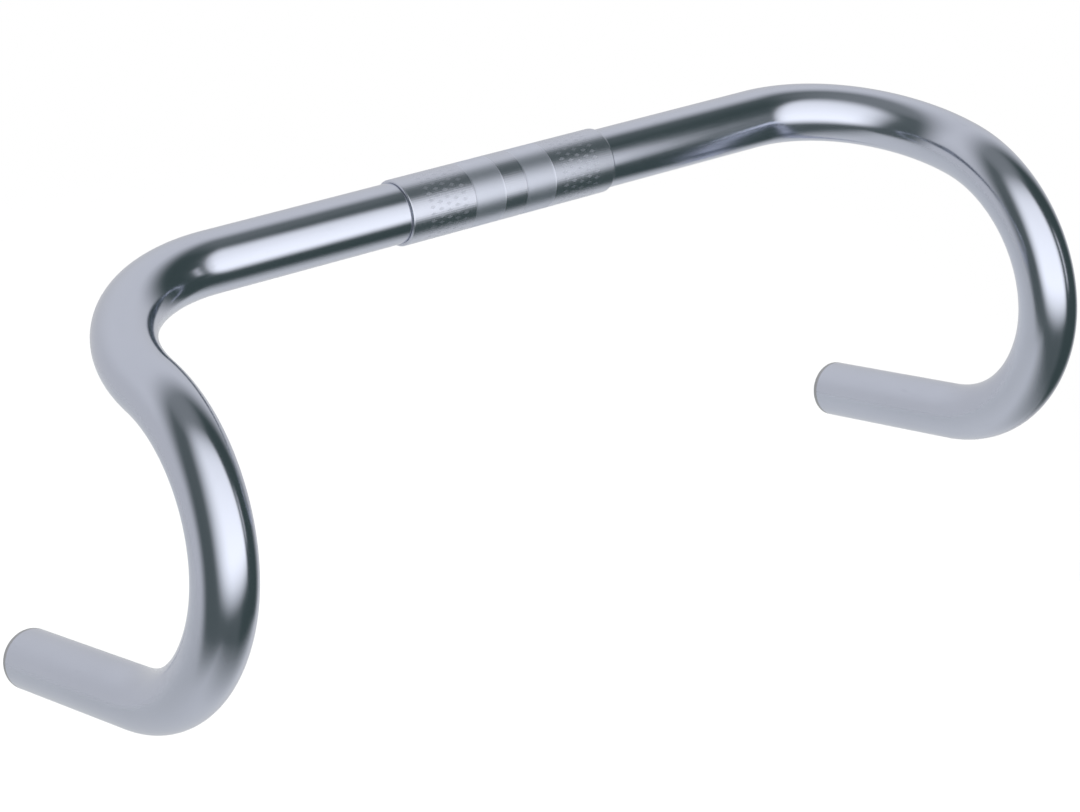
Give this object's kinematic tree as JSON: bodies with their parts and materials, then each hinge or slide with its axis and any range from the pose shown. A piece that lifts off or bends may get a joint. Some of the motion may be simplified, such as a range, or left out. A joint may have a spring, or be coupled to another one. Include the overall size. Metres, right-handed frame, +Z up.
{
  "type": "drop handlebar",
  "caption": "Bicycle drop handlebar: a bent aluminium tube with flat tops, forward reach and hooked drops, and a pressed-on centre sleeve that a stem clamps.",
  "frame": {"origin": "centre of the stem clamp, on the axis of the tops, halfway along the sleeve", "axes": "+X along the tops to the rider's right, +Y forward, +Z up"},
  "size_m": [0.435, 0.1466, 0.1743],
  "materials": {
    "tube_alloy": "polished, silver anodised",
    "sleeve_alloy": "polished, with two knurled bands"
  },
  "bodies": {
    "root": {"bar_tube": "tube_alloy", "clamp_sleeve": "sleeve_alloy"}
  },
  "joints": []
}
